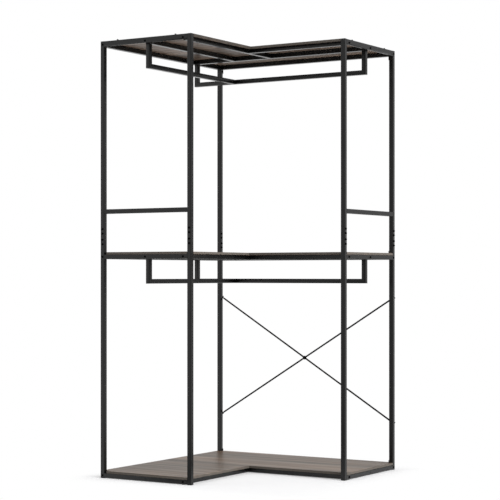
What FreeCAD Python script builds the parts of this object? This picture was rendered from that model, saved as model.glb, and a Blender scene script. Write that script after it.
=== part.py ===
import FreeCAD, Part
import math
import os
import Sketcher

# L-shaped corner garment rack of square steel tube with boards on three levels.
# +Z is up, the back corner is at -X +Y, the right arm runs along +X and the left arm along -Y.
# The origin is on the floor, in the middle of the square that the two arms span.

SIZES = {
    "overall_height": 2000,
    "right_arm_length": 1000,
    "left_arm_length": 1000,
    "right_arm_depth": 500,
    "left_arm_depth": 500,
    "tube_width": 21,
    "tube_wall": 1.2,
    "tube_corner": 2,
    "foot_thickness": 2,
    "foot_stem": 6,
    "plug_depth": 8,
    "fit_gap": 0.2,
    "middle_rail_height": 1002.5,
    "guard_rail_height": 1209.5,
    "inner_rail_inset": 33.5,
    "board_thickness": 11,
    "board_chamfer": 0.8,
    "board_gap": 0.5,
    "notch_relief": 8,
    "end_notch_relief": 13,
    "top_panel_thickness": 4.5,
    "lip_depth": 10.5,
    "lip_width": 12,
    "hanging_drop": 111.5,
    "tab_thickness": 2.5,
    "tab_rise": 11,
    "tab_drop": 18,
    "post_joint_height": 1105.5,
    "sleeve_length": 100,
    "sleeve_wall": 1.5,
    "joint_bolt_near": 14,
    "joint_bolt_far": 34.5,
    "bolt_head_radius": 5,
    "bolt_head_height": 3,
    "bolt_radius": 2.5,
    "bolt_hole_gap": 0.1,
    "end_bolt_reach": 12,
    "brace_top": 820,
    "brace_bottom": 222,
    "rod_radius": 3,
    "rod_lift": 0.3,
    "rod_lap": 7,
    "eye_radius": 8,
    "eye_thickness": 2,
    "eye_neck": 7,
}

doc = FreeCAD.newDocument("corner_garment_rack")
sheet = doc.addObject("Spreadsheet::Sheet", "Sizes")
for row, (name, number) in enumerate(SIZES.items(), start=1):
    sheet.set(f"A{row}", name)
    sheet.set(f"B{row}", str(number))
    sheet.setAlias(f"B{row}", name)
doc.recompute()

# Places that many pieces share, written as expressions on the sheet
TUBE = "Sizes.tube_width"
LEFT = "(-Sizes.right_arm_length / 2)"
RIGHT = "(Sizes.right_arm_length / 2)"
FRONT = "(-Sizes.left_arm_length / 2)"
BACK = "(Sizes.left_arm_length / 2)"
TOP = "Sizes.overall_height"
JOINT = "Sizes.post_joint_height"
CAVITY = f"({TUBE} - 2 * Sizes.tube_wall)"

# Centre lines of the tubes: x of those on the left arm, y of those on the right arm
LEFT_OUTER = f"({LEFT} + {TUBE} / 2)"
LEFT_MIDDLE = f"({LEFT} + Sizes.left_arm_depth / 2)"
LEFT_INNER = f"({LEFT} + Sizes.left_arm_depth - Sizes.inner_rail_inset - {TUBE} / 2)"
LEFT_POST = f"({LEFT} + Sizes.left_arm_depth - {TUBE} / 2)"
RIGHT_OUTER = f"({BACK} - {TUBE} / 2)"
RIGHT_MIDDLE = f"({BACK} - Sizes.right_arm_depth / 2)"
RIGHT_INNER = f"({BACK} - Sizes.right_arm_depth + Sizes.inner_rail_inset + {TUBE} / 2)"
RIGHT_POST = f"({BACK} - Sizes.right_arm_depth + {TUBE} / 2)"
LEFT_END = f"({FRONT} + {TUBE} / 2)"
RIGHT_END = f"({RIGHT} - {TUBE} / 2)"

# Undersides of the long rails and of the end rails, by level
RAIL_LEVELS = {
    "bottom": "Sizes.foot_thickness",
    "middle": "Sizes.middle_rail_height",
    "top": f"({TOP} - Sizes.top_panel_thickness - {TUBE})",
}
END_RAIL_LEVELS = {
    "bottom": "Sizes.foot_thickness",
    "middle": "Sizes.middle_rail_height",
    "guard": "Sizes.guard_rail_height",
    "top": f"({TOP} - {TUBE})",
}

# Posts: centre, and the way their joint bolts point
POSTS = {
    "left_outer_post": (LEFT_OUTER, LEFT_END, "+y"),
    "left_inner_post": (LEFT_POST, LEFT_END, "+y"),
    "corner_post": (LEFT_OUTER, RIGHT_OUTER, "-x"),
    "right_inner_post": (RIGHT_END, RIGHT_POST, "-x"),
    "right_outer_post": (RIGHT_END, RIGHT_OUTER, "-x"),
}

X_AXIS = FreeCAD.Vector(1, 0, 0)
Y_AXIS = FreeCAD.Vector(0, 1, 0)
Z_AXIS = FreeCAD.Vector(0, 0, 1)
# A lying tube keeps its own X upright
ALONG = {
    "x": FreeCAD.Rotation(Z_AXIS, -Y_AXIS, X_AXIS, "ZXY"),
    "y": FreeCAD.Rotation(Z_AXIS, X_AXIS, Y_AXIS, "ZXY"),
    "z": FreeCAD.Rotation(),
}
POINTING = {
    "+x": FreeCAD.Rotation(Z_AXIS, X_AXIS),
    "-x": FreeCAD.Rotation(Z_AXIS, -X_AXIS),
    "+y": FreeCAD.Rotation(Z_AXIS, Y_AXIS),
    "-y": FreeCAD.Rotation(Z_AXIS, -Y_AXIS),
}
OPPOSITE = {"+x": "-x", "-x": "+x", "+y": "-y", "-y": "+y"}

pieces = {}


def size(expression):
    return float(sheet.evalExpression(expression))


def bind(feature, **expressions):
    for name, expression in expressions.items():
        feature.setExpression(name, expression)
    return feature


def place(feature, point, rotation):
    feature.Placement = FreeCAD.Placement(FreeCAD.Vector(), rotation)
    for axis, expression in zip("xyz", point):
        feature.setExpression(f"Placement.Base.{axis}", expression)
    return feature


def keep(label, feature):
    feature.Label = label
    pieces[label] = feature
    return feature


# Sketch helpers

def sketch_on(body, plane, height="0"):
    sketch = body.newObject("Sketcher::SketchObject", "sketch")
    support = [feature for feature in body.Origin.OriginFeatures if feature.Role == plane]
    sketch.AttachmentSupport = [(support[0], "")]
    sketch.MapMode = "FlatFace"
    sketch.setExpression("AttachmentOffset.Base.z", height)
    return sketch


def dimension(sketch, kind, first, second, expression):
    index = sketch.addConstraint(Sketcher.Constraint(kind, *first, *second, size(expression)))
    sketch.setExpression(f"Constraints[{index}]", expression)


def polygon(sketch, corners):
    """Closed outline whose corners are pairs of expressions, measured from the sketch's origin."""
    points = [FreeCAD.Vector(size(x), size(y), 0) for x, y in corners]
    start = sketch.GeometryCount
    count = len(points)
    for index, point in enumerate(points):
        sketch.addGeometry(Part.LineSegment(point, points[(index + 1) % count]))
    for index in range(count):
        following = start + (index + 1) % count
        sketch.addConstraint(Sketcher.Constraint("Coincident", start + index, 2, following, 1))
    origin = (-1, 1)
    for index, corner in enumerate(corners):
        vertex = (start + index, 1)
        for kind, axis, expression in (("DistanceX", -2, corner[0]), ("DistanceY", -1, corner[1])):
            value = size(expression)
            if value == 0:
                sketch.addConstraint(Sketcher.Constraint("PointOnObject", *vertex, axis))
            elif value > 0:
                dimension(sketch, kind, origin, vertex, expression)
            else:
                dimension(sketch, kind, vertex, origin, f"-({expression})")


def square(sketch, width):
    half = f"{width} / 2"
    polygon(sketch, [(f"-{half}", f"-{half}"), (half, f"-{half}"), (half, half), (f"-{half}", half)])


def rounded_square(sketch, width, radius):
    """Square about the origin with an arc at each corner."""
    reach = size(width) / 2
    bend = size(radius)
    centre = reach - bend
    start = sketch.GeometryCount
    quarter = math.pi / 2
    signs = [(1, 1), (-1, 1), (-1, -1), (1, -1)]
    for turn, (across, up) in enumerate(signs):
        circle = Part.Circle(FreeCAD.Vector(across * centre, up * centre, 0), Z_AXIS, bend)
        sketch.addGeometry(Part.ArcOfCircle(circle, turn * quarter, (turn + 1) * quarter))
    arcs = list(range(start, start + 4))
    sides = list(range(start + 4, start + 8))
    ends = [
        ((centre, reach), (-centre, reach)),
        ((-reach, centre), (-reach, -centre)),
        ((-centre, -reach), (centre, -reach)),
        ((reach, -centre), (reach, centre)),
    ]
    for first, last in ends:
        sketch.addGeometry(Part.LineSegment(FreeCAD.Vector(*first, 0), FreeCAD.Vector(*last, 0)))
    for turn in range(4):
        sketch.addConstraint(Sketcher.Constraint("Tangent", arcs[turn], 2, sides[turn], 1))
        sketch.addConstraint(Sketcher.Constraint("Tangent", sides[turn], 2, arcs[(turn + 1) % 4], 1))
        sketch.addConstraint(Sketcher.Constraint("Vertical" if turn % 2 else "Horizontal", sides[turn]))
    for arc in arcs[1:]:
        sketch.addConstraint(Sketcher.Constraint("Equal", arcs[0], arc))
    sketch.addConstraint(Sketcher.Constraint("Symmetric", arcs[0], 3, arcs[2], 3, -1, 1))
    spacing = f"{width} - 2 * {radius}"
    dimension(sketch, "Radius", (arcs[0],), (), radius)
    dimension(sketch, "DistanceX", (arcs[1], 3), (arcs[0], 3), spacing)
    dimension(sketch, "DistanceY", (arcs[3], 3), (arcs[0], 3), spacing)


def pad(body, sketch, length, symmetric=False, downward=False):
    feature = body.newObject("PartDesign::Pad", "pad")
    feature.Profile = sketch
    feature.SideType = "Symmetric" if symmetric else "One side"
    feature.Reversed = downward
    return bind(feature, Length=length)


def slot_out(body, sketch, length):
    feature = body.newObject("PartDesign::Pocket", "pocket")
    feature.Profile = sketch
    feature.SideType = "Symmetric"
    return bind(feature, Length=length)


# Bolts, and the drills that make their holes. There are many, so each is a prism with few faces.
HEAD_SIDES = 12
SHANK_SIDES = 6


def prism(point, direction, sides, radius, height):
    feature = doc.addObject("Part::Prism", "prism")
    feature.Polygon = sides
    bind(feature, Circumradius=radius, Height=height)
    return place(feature, point, POINTING[direction])


def bolt(point, direction, reach):
    outward = OPPOSITE[direction]
    feature = doc.addObject("Part::Fuse", "bolt")
    feature.Base = prism(point, outward, HEAD_SIDES, "Sizes.bolt_head_radius", "Sizes.bolt_head_height")
    feature.Tool = prism(point, direction, SHANK_SIDES, "Sizes.bolt_radius", reach)
    return feature


def drill(point, direction, reach):
    return prism(point, direction, SHANK_SIDES, "Sizes.bolt_radius + Sizes.bolt_hole_gap", reach)


def compound(name, links):
    feature = doc.addObject("Part::Compound", name)
    feature.Links = links
    return feature


def post_joint_sites():
    """Bolt seats on one face of each post, two above and two below its joint."""
    sites = []
    for x, y, direction in POSTS.values():
        face_x = f"{x} + {TUBE} / 2" if direction == "-x" else x
        face_y = f"{y} - {TUBE} / 2" if direction == "+y" else y
        for offset in ("Sizes.joint_bolt_near", "Sizes.joint_bolt_far"):
            for sign in "-+":
                sites.append(((face_x, face_y, f"{JOINT} {sign} {offset}"), direction))
    return sites


def end_frame_sites():
    """Bolt seats on the outer faces of the end frames, in line with the long rails."""
    sites = []
    for underside in RAIL_LEVELS.values():
        height = f"{underside} + {TUBE} / 2"
        for x in (LEFT_OUTER, LEFT_MIDDLE, LEFT_INNER):
            sites.append(((x, FRONT, height), "+y"))
        for y in (RIGHT_OUTER, RIGHT_MIDDLE, RIGHT_INNER):
            sites.append(((RIGHT, y, height), "-x"))
    return sites


JOINT_BOLT_REACH = "Sizes.tube_wall + Sizes.fit_gap"
END_BOLT_REACH = f"{TUBE} + Sizes.end_bolt_reach"
keep("post_joint_bolts", compound("bolts", [bolt(*site, JOINT_BOLT_REACH) for site in post_joint_sites()]))
keep("end_frame_bolts", compound("bolts", [bolt(*site, END_BOLT_REACH) for site in end_frame_sites()]))
joint_drills = compound("drills", [drill(*site, JOINT_BOLT_REACH) for site in post_joint_sites()])
end_drills = compound("drills", [drill(*site, END_BOLT_REACH) for site in end_frame_sites()])


def drilled(label, blank, drills):
    """Piece that is left of a blank once the bolt holes are cut."""
    blank.Label = f"{label}_blank"
    feature = doc.addObject("Part::Cut", "drilled")
    feature.Base = blank
    feature.Tool = drills
    return keep(label, feature)


# Tubes of the frame

def tube(axis, start, length):
    body = doc.addObject("PartDesign::Body", "tube")
    section = sketch_on(body, "XY_Plane")
    rounded_square(section, TUBE, "Sizes.tube_corner")
    square(section, CAVITY)
    pad(body, section, length)
    return place(body, start, ALONG[axis])


def posts():
    all_drills = compound("drills", [joint_drills, end_drills])
    foot = "Sizes.foot_thickness"
    for name, (x, y, _) in POSTS.items():
        drilled(f"{name}_lower", tube("z", (x, y, foot), f"{JOINT} - {foot}"), all_drills)
        drilled(f"{name}_upper", tube("z", (x, y, JOINT), f"{TOP} - {JOINT}"), all_drills)


def end_rails():
    for level, underside in END_RAIL_LEVELS.items():
        height = f"{underside} + {TUBE} / 2"
        left = tube("x", (f"{LEFT} + {TUBE}", LEFT_END, height), f"Sizes.left_arm_depth - 2 * {TUBE}")
        right_start = f"{BACK} - Sizes.right_arm_depth + {TUBE}"
        right = tube("y", (RIGHT_END, right_start, height), f"Sizes.right_arm_depth - 2 * {TUBE}")
        if level == "guard":
            keep("left_end_rail_guard", left)
            keep("right_end_rail_guard", right)
        else:
            drilled(f"left_end_rail_{level}", left, end_drills)
            drilled(f"right_end_rail_{level}", right, end_drills)


def end_tabs(body, length, low, high):
    """Upright plates that close a lying tube's ends and reach past its top or underside."""
    half = f"{TUBE} / 2"
    for height in ("0", f"{length} - Sizes.tab_thickness"):
        plate = sketch_on(body, "XY_Plane", height)
        polygon(plate, [(low, f"-{half}"), (high, f"-{half}"), (high, half), (low, half)])
        pad(body, plate, "Sizes.tab_thickness")


def long_rails():
    left_start = f"{FRONT} + {TUBE}"
    left_full = f"Sizes.left_arm_length - 2 * {TUBE}"
    left_short = f"{RIGHT_MIDDLE} - {TUBE} / 2 - ({left_start})"
    right_start = f"{LEFT} + {TUBE}"
    right_full = f"Sizes.right_arm_length - 2 * {TUBE}"
    inner_start = f"{LEFT_INNER} + {TUBE} / 2"
    for level, underside in RAIL_LEVELS.items():
        height = f"{underside} + {TUBE} / 2"
        keep(f"{level}_left_outer_rail", tube("y", (LEFT_OUTER, left_start, height), left_full))
        keep(f"{level}_left_middle_rail", tube("y", (LEFT_MIDDLE, left_start, height), left_short))
        keep(f"{level}_left_inner_rail", tube("y", (LEFT_INNER, left_start, height), left_short))
        right_middle = tube("x", (right_start, RIGHT_MIDDLE, height), right_full)
        keep(f"{level}_right_middle_rail", right_middle)
        right_inner = tube("x", (inner_start, RIGHT_INNER, height), f"{RIGHT} - {TUBE} - ({inner_start})")
        keep(f"{level}_right_inner_rail", right_inner)
        right_outer = tube("x", (right_start, RIGHT_OUTER, height), right_full)
        half = f"{TUBE} / 2"
        if level == "top":
            end_tabs(right_outer, right_full, f"-({half} + Sizes.tab_drop)", half)
        else:
            end_tabs(right_outer, right_full, f"-{half}", f"{half} + Sizes.board_thickness + Sizes.tab_rise")
        drilled(f"{level}_right_outer_rail", right_outer, end_drills)


# Boards and the thin top panels

def chamfer_faces(body, base):
    """Break the edges round the top and the underside of a flat board."""
    doc.recompute()
    flat = []
    for index, face in enumerate(base.Shape.Faces, start=1):
        if round(abs(face.normalAt(0, 0).z)) == 1:
            flat.append(f"Face{index}")
    feature = body.newObject("PartDesign::Chamfer", "chamfer")
    feature.Base = (base, flat)
    bind(feature, Size="Sizes.board_chamfer")


def board(label, corners, point):
    body = doc.addObject("PartDesign::Body", "board")
    outline = sketch_on(body, "XY_Plane")
    polygon(outline, corners)
    chamfer_faces(body, pad(body, outline, "Sizes.board_thickness"))
    keep(label, place(body, point, ALONG["z"]))


def lipped_panel(label, corners, lip, point):
    """Thin panel with a deeper lip along its front edge."""
    body = doc.addObject("PartDesign::Body", "panel")
    outline = sketch_on(body, "XY_Plane")
    polygon(outline, corners)
    pad(body, outline, "Sizes.top_panel_thickness")
    edge = sketch_on(body, "XY_Plane")
    polygon(edge, lip)
    pad(body, edge, "Sizes.lip_depth - Sizes.top_panel_thickness", downward=True)
    keep(label, place(body, point, ALONG["z"]))


def boards():
    gap = "Sizes.board_gap"
    notch = f"({TUBE} + {gap})"
    tab_notch = f"({TUBE} + Sizes.notch_relief)"
    length = "Sizes.right_arm_length"
    depth = f"(Sizes.right_arm_depth - {TUBE} - {gap})"
    right = [
        ("0", "0"),
        (length, "0"),
        (length, f"{depth} - {notch}"),
        (f"{length} - {tab_notch}", f"{depth} - {notch}"),
        (f"{length} - {tab_notch}", depth),
        (tab_notch, depth),
        (tab_notch, f"{depth} - {notch}"),
        ("0", f"{depth} - {notch}"),
    ]
    width = f"(Sizes.left_arm_depth - {TUBE} - {gap})"
    reach = f"(Sizes.left_arm_length - {depth} - {gap})"
    end_notch = f"({TUBE} + Sizes.end_notch_relief)"
    left = [
        (end_notch, "0"),
        (width, "0"),
        (width, reach),
        ("0", reach),
        ("0", notch),
        (end_notch, notch),
    ]
    for level in ("bottom", "middle"):
        height = f"{RAIL_LEVELS[level]} + {TUBE}"
        board(f"{level}_right_board", right, (LEFT, f"{BACK} - {depth}", height))
        board(f"{level}_left_board", left, (LEFT, FRONT, height))


def top_panels():
    gap = "Sizes.board_gap"
    notch = f"({TUBE} + {gap})"
    lip = "Sizes.lip_width"
    height = f"{RAIL_LEVELS['top']} + {TUBE}"
    length = f"(Sizes.right_arm_length - {notch})"
    depth = "Sizes.right_arm_depth"
    inner = "Sizes.left_arm_depth"
    right = [
        ("0", "0"),
        (length, "0"),
        (length, depth),
        (notch, depth),
        (notch, f"{depth} - {notch}"),
        ("0", f"{depth} - {notch}"),
    ]
    right_lip = [(f"{inner} - {lip}", "0"), (length, "0"), (length, lip), (f"{inner} - {lip}", lip)]
    lipped_panel("top_right_panel", right, right_lip, (LEFT, f"{BACK} - {depth}", height))
    reach = f"(Sizes.left_arm_length - {depth} - {notch} - {gap})"
    left = [("0", "0"), (inner, "0"), (inner, reach), ("0", reach)]
    left_lip = [(f"{inner} - {lip}", "0"), (inner, "0"), (inner, reach), (f"{inner} - {lip}", reach)]
    lipped_panel("top_left_panel", left, left_lip, (LEFT, f"{FRONT} + {notch}", height))


# Hanging bars under the middle rails

def hanging_bar(label, outline, cavity, point, turn):
    body = doc.addObject("PartDesign::Body", "bar")
    shape = sketch_on(body, "XZ_Plane")
    polygon(shape, outline)
    pad(body, shape, TUBE, symmetric=True)
    hollow = sketch_on(body, "XZ_Plane")
    polygon(hollow, cavity)
    slot_out(body, hollow, CAVITY)
    keep(label, place(body, point, FreeCAD.Rotation(Z_AXIS, turn)))


def right_hanging_bar(label, height):
    wall = "Sizes.tube_wall"
    drop = "Sizes.hanging_drop"
    length = f"(Sizes.right_arm_length - 2 * {TUBE})"
    inside = f"({TUBE} - {wall})"
    outline = [
        ("0", "0"),
        (length, "0"),
        (length, drop),
        (f"{length} - {TUBE}", drop),
        (f"{length} - {TUBE}", TUBE),
        (TUBE, TUBE),
        (TUBE, drop),
        ("0", drop),
    ]
    cavity = [
        (wall, wall),
        (f"{length} - {wall}", wall),
        (f"{length} - {wall}", drop),
        (f"{length} - {inside}", drop),
        (f"{length} - {inside}", inside),
        (inside, inside),
        (inside, drop),
        (wall, drop),
    ]
    hanging_bar(label, outline, cavity, (f"{LEFT} + {TUBE}", RIGHT_MIDDLE, height), 0)


def left_hanging_bar(label, height):
    wall = "Sizes.tube_wall"
    drop = "Sizes.hanging_drop"
    start = f"({FRONT} + {TUBE})"
    length = f"({RIGHT_MIDDLE} - {TUBE} / 2 - {start})"
    inside = f"({TUBE} - {wall})"
    outline = [("0", "0"), (length, "0"), (length, TUBE), (TUBE, TUBE), (TUBE, drop), ("0", drop)]
    cavity = [
        (wall, wall),
        (length, wall),
        (length, inside),
        (inside, inside),
        (inside, drop),
        (wall, drop),
    ]
    hanging_bar(label, outline, cavity, (LEFT_MIDDLE, start, height), 90)


def hanging_bars():
    for name, level in (("upper", "top"), ("lower", "middle")):
        height = f"{RAIL_LEVELS[level]} - Sizes.hanging_drop"
        right_hanging_bar(f"{name}_right_hanging_bar", height)
        left_hanging_bar(f"{name}_left_hanging_bar", height)


# Feet, plugs and joint sleeves

def copies(label, master, heights):
    """One piece at each post, from a master solid."""
    doc.recompute()
    solids = []
    for x, y, _ in POSTS.values():
        solid = master.Shape.copy()
        solid.translate(FreeCAD.Vector(size(x), size(y), size(heights)))
        solids.append(solid)
    feature = doc.addObject("Part::Feature", "copies")
    feature.Shape = Part.makeCompound(solids)
    keep(label, feature)


def foot_caps():
    body = doc.addObject("PartDesign::Body", "foot")
    base = sketch_on(body, "XY_Plane")
    rounded_square(base, TUBE, "Sizes.tube_corner")
    pad(body, base, "Sizes.foot_thickness")
    stem = sketch_on(body, "XY_Plane", "Sizes.foot_thickness")
    square(stem, f"({CAVITY} - 2 * Sizes.fit_gap)")
    pad(body, stem, "Sizes.foot_stem")
    copies("foot_caps", body, "0")


def post_plugs():
    body = doc.addObject("PartDesign::Body", "plug")
    section = sketch_on(body, "XY_Plane")
    square(section, f"({CAVITY} - 2 * Sizes.fit_gap)")
    pad(body, section, "Sizes.plug_depth")
    copies("post_top_plugs", body, f"{TOP} - Sizes.plug_depth")


def joint_sleeves():
    body = doc.addObject("PartDesign::Body", "sleeve")
    section = sketch_on(body, "XY_Plane")
    outside = f"({CAVITY} - 2 * Sizes.fit_gap)"
    square(section, outside)
    square(section, f"({outside} - 2 * Sizes.sleeve_wall)")
    pad(body, section, "Sizes.sleeve_length")
    copies("post_joint_sleeves", body, f"{JOINT} - Sizes.sleeve_length / 2")


# Crossed rods on the back of the right arm

def brace_rod(label, slope, half):
    """Round rod with a flat eye at each end, halved where it crosses the other rod."""
    span = f"(Sizes.right_arm_length - {TUBE})"
    rise = "(Sizes.brace_top - Sizes.brace_bottom)"
    length = f"sqrt({span} ^ 2 + {rise} ^ 2)"
    radius = "Sizes.rod_radius"
    lift = f"({radius} + Sizes.rod_lift)"
    rod = bind(
        doc.addObject("Part::Cylinder", "rod"), Radius=radius, Height=f"{length} - 2 * Sizes.eye_neck"
    )
    rod = place(rod, (f"-({length} / 2 - Sizes.eye_neck)", "0", "0"), POINTING["+x"])
    parts = [rod]
    for side in ("-", ""):
        eye = bind(
            doc.addObject("Part::Cylinder", "eye"), Radius="Sizes.eye_radius", Height="Sizes.eye_thickness"
        )
        parts.append(place(eye, (f"{side}{length} / 2", f"-{lift}", "0"), POINTING["+y"]))
    whole = doc.addObject("Part::MultiFuse", "rod_with_eyes")
    whole.Shapes = parts
    lap = bind(
        doc.addObject("Part::Box", "lap"),
        Length="2 * Sizes.rod_lap",
        Width=f"2 * {radius}",
        Height=f"4 * {radius}",
    )
    side = "0" if half == "back" else f"-2 * {radius}"
    place(lap, ("-Sizes.rod_lap", side, f"-2 * {radius}"), ALONG["z"])
    feature = doc.addObject("Part::Cut", "rod")
    feature.Base = whole
    feature.Tool = lap
    point = f"vector(0; {BACK} + {lift}; (Sizes.brace_top + Sizes.brace_bottom) / 2)"
    turn = f"rotation(vector(0; 1; 0); {slope} * atan({rise} / {span}))"
    feature.setExpression("Placement", f"placement({point}; {turn})")
    keep(label, feature)


posts()
end_rails()
long_rails()
boards()
top_panels()
hanging_bars()
foot_caps()
post_plugs()
joint_sleeves()
brace_rod("brace_rod_falling", 1, "back")
brace_rod("brace_rod_rising", -1, "front")
doc.recompute()

for feature in doc.Objects:
    if "Invalid" in feature.State or "Error" in feature.State:
        raise RuntimeError(f"{feature.Label} did not build")
for label, feature in pieces.items():
    if feature.Shape.isNull() or not feature.Shape.isValid():
        raise RuntimeError(f"{label} has no valid shape")

os.makedirs("parts", exist_ok=True)
for label, feature in pieces.items():
    feature.Shape.exportStep(f"parts/{label}.step")
print(f"{len(pieces)} pieces written")
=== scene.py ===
"""Finishes, small fasteners and studio of a corner garment rack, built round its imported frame.

Lengths are in metres. The right arm runs along X and the left arm along Y.
"""

import math

import bmesh
import bpy
from bpy.props import FloatProperty, FloatVectorProperty, PointerProperty
from mathutils import Matrix, Vector


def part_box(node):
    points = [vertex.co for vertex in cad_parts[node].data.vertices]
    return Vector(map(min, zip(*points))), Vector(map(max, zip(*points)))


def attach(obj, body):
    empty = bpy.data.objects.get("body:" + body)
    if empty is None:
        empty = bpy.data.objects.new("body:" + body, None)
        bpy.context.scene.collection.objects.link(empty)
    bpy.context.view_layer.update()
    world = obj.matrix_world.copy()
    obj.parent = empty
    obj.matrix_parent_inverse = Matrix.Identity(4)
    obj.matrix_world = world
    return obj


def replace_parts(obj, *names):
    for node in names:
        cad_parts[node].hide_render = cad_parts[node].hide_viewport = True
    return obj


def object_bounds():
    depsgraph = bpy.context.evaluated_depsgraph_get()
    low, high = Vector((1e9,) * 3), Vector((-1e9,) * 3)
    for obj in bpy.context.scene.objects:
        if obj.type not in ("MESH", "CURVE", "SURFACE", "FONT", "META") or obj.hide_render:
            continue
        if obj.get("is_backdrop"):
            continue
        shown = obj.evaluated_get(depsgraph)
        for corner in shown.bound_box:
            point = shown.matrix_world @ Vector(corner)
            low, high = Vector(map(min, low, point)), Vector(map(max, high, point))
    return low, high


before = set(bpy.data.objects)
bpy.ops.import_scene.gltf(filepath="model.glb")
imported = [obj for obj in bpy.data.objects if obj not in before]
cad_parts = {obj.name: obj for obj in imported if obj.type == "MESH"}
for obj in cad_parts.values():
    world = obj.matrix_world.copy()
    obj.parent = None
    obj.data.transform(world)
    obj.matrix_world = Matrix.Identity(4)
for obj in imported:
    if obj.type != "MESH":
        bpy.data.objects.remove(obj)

bl_info = {
    "name": "Corner Garment Rack",
    "version": (1, 0, 0),
    "blender": (4, 5, 0),
    "location": "View3D > Sidebar > Rack",
    "description": "Finishes, small fasteners and studio of a corner garment rack of square tube",
    "category": "Object",
}

CAD_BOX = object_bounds()
MILLIMETRE = 0.001
WHITE = (1.0, 1.0, 1.0, 1.0)
LEVELS = ("bottom", "middle", "top")
POSTS = ("left_outer_post", "left_inner_post", "corner_post", "right_inner_post", "right_outer_post")
LEFTWARD = Vector((-1, 0, 0))
RIGHTWARD = Vector((1, 0, 0))
FORWARD = Vector((0, -1, 0))
BACKWARD = Vector((0, 1, 0))
UPWARD = Vector((0, 0, 1))


class RackFinishes(bpy.types.PropertyGroup):
    """Colours and gloss of the rack's materials"""

    frame_black: FloatVectorProperty(
        name="Frame", description="Powder coat on the posts and rails", subtype="COLOR",
        default=(0.0042, 0.0042, 0.0042), min=0, max=1,
    )
    bar_black: FloatVectorProperty(
        name="Hanging Bars", description="Powder coat on the hanging bars", subtype="COLOR",
        default=(0.0035, 0.0035, 0.0035), min=0, max=1,
    )
    rod_black: FloatVectorProperty(
        name="Brace Rods", description="Paint on the crossed rods", subtype="COLOR",
        default=(0.004, 0.004, 0.0042), min=0, max=1,
    )
    bolt_black: FloatVectorProperty(
        name="Bolts", description="Blackened steel of bolts and screws", subtype="COLOR",
        default=(0.0016, 0.0016, 0.0017), min=0, max=1,
    )
    plastic_black: FloatVectorProperty(
        name="Plastic", description="Moulded feet, pads and post plugs", subtype="COLOR",
        default=(0.008, 0.008, 0.008), min=0, max=1,
    )
    wood_dark: FloatVectorProperty(
        name="Wood Dark", description="Darkest streaks of the boards", subtype="COLOR",
        default=(0.078, 0.057, 0.041), min=0, max=1,
    )
    wood_middle: FloatVectorProperty(
        name="Wood Middle", description="Main tone of the boards", subtype="COLOR",
        default=(0.17, 0.134, 0.106), min=0, max=1,
    )
    wood_light: FloatVectorProperty(
        name="Wood Light", description="Palest streaks of the boards", subtype="COLOR",
        default=(0.276, 0.226, 0.186), min=0, max=1,
    )
    wood_edge: FloatVectorProperty(
        name="Wood Edge", description="Band on the edges of the boards", subtype="COLOR",
        default=(0.1, 0.09, 0.079), min=0, max=1,
    )
    frame_roughness: FloatProperty(
        name="Frame Roughness", description="Gloss of the powder coat, 0 is a mirror", subtype="FACTOR",
        default=0.25, min=0, max=1,
    )
    wood_roughness: FloatProperty(
        name="Wood Roughness", description="Gloss of the boards, 0 is a mirror", subtype="FACTOR",
        default=0.36, min=0, max=1,
    )


class RackFasteners(bpy.types.PropertyGroup):
    """Sizes of bolts, screws, rod coats and pads"""

    bolt_radius: FloatProperty(
        name="Bolt Head Radius", description="Button head of the frame bolts", unit="LENGTH",
        default=5 * MILLIMETRE,
    )
    bolt_height: FloatProperty(
        name="Bolt Head Height", description="Height of a button head", unit="LENGTH",
        default=3 * MILLIMETRE,
    )
    joint_bolt_height: FloatProperty(
        name="Joint Bolt Head Height", description="Height of the taller heads at the post joints",
        unit="LENGTH", default=4.5 * MILLIMETRE,
    )
    flush_bolt_height: FloatProperty(
        name="Flush Bolt Head Height", description="Height of the painted heads low on the end frames",
        unit="LENGTH", default=1.0 * MILLIMETRE,
    )
    bolt_shank: FloatProperty(
        name="Bolt Shank Radius", description="Shank of the frame bolts", unit="LENGTH",
        default=2.2 * MILLIMETRE,
    )
    socket_radius: FloatProperty(
        name="Socket Radius", description="Corner radius of the six-sided socket", unit="LENGTH",
        default=2.6 * MILLIMETRE,
    )
    screw_radius: FloatProperty(
        name="Screw Head Radius", description="Pan head of the small screws", unit="LENGTH",
        default=4 * MILLIMETRE,
    )
    screw_height: FloatProperty(
        name="Screw Head Height", description="Height of a pan head", unit="LENGTH",
        default=3.6 * MILLIMETRE,
    )
    screw_shank: FloatProperty(
        name="Screw Shank Radius", description="Shank of the small screws", unit="LENGTH",
        default=1.6 * MILLIMETRE,
    )
    cross_radius: FloatProperty(
        name="Cross Radius", description="Arm length of the cross recess", unit="LENGTH",
        default=1.7 * MILLIMETRE,
    )
    rivet_radius: FloatProperty(
        name="Rivet Radius", description="Head of the rivet where the brace rods cross", unit="LENGTH",
        default=9 * MILLIMETRE,
    )
    coat_radius: FloatProperty(
        name="Rod Coat Radius", description="Outside of the dipped coat on the brace rods", unit="LENGTH",
        default=4 * MILLIMETRE,
    )
    stud_radius: FloatProperty(
        name="Stud Radius", description="Bolt end that stands out behind each brace eye", unit="LENGTH",
        default=3.4 * MILLIMETRE,
    )
    stud_reach: FloatProperty(
        name="Stud Reach", description="Length of a stud behind the post", unit="LENGTH",
        default=20 * MILLIMETRE,
    )
    pad_radius: FloatProperty(
        name="Pad Radius", description="Round pad under a bottom end rail", unit="LENGTH",
        default=9 * MILLIMETRE,
    )


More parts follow.
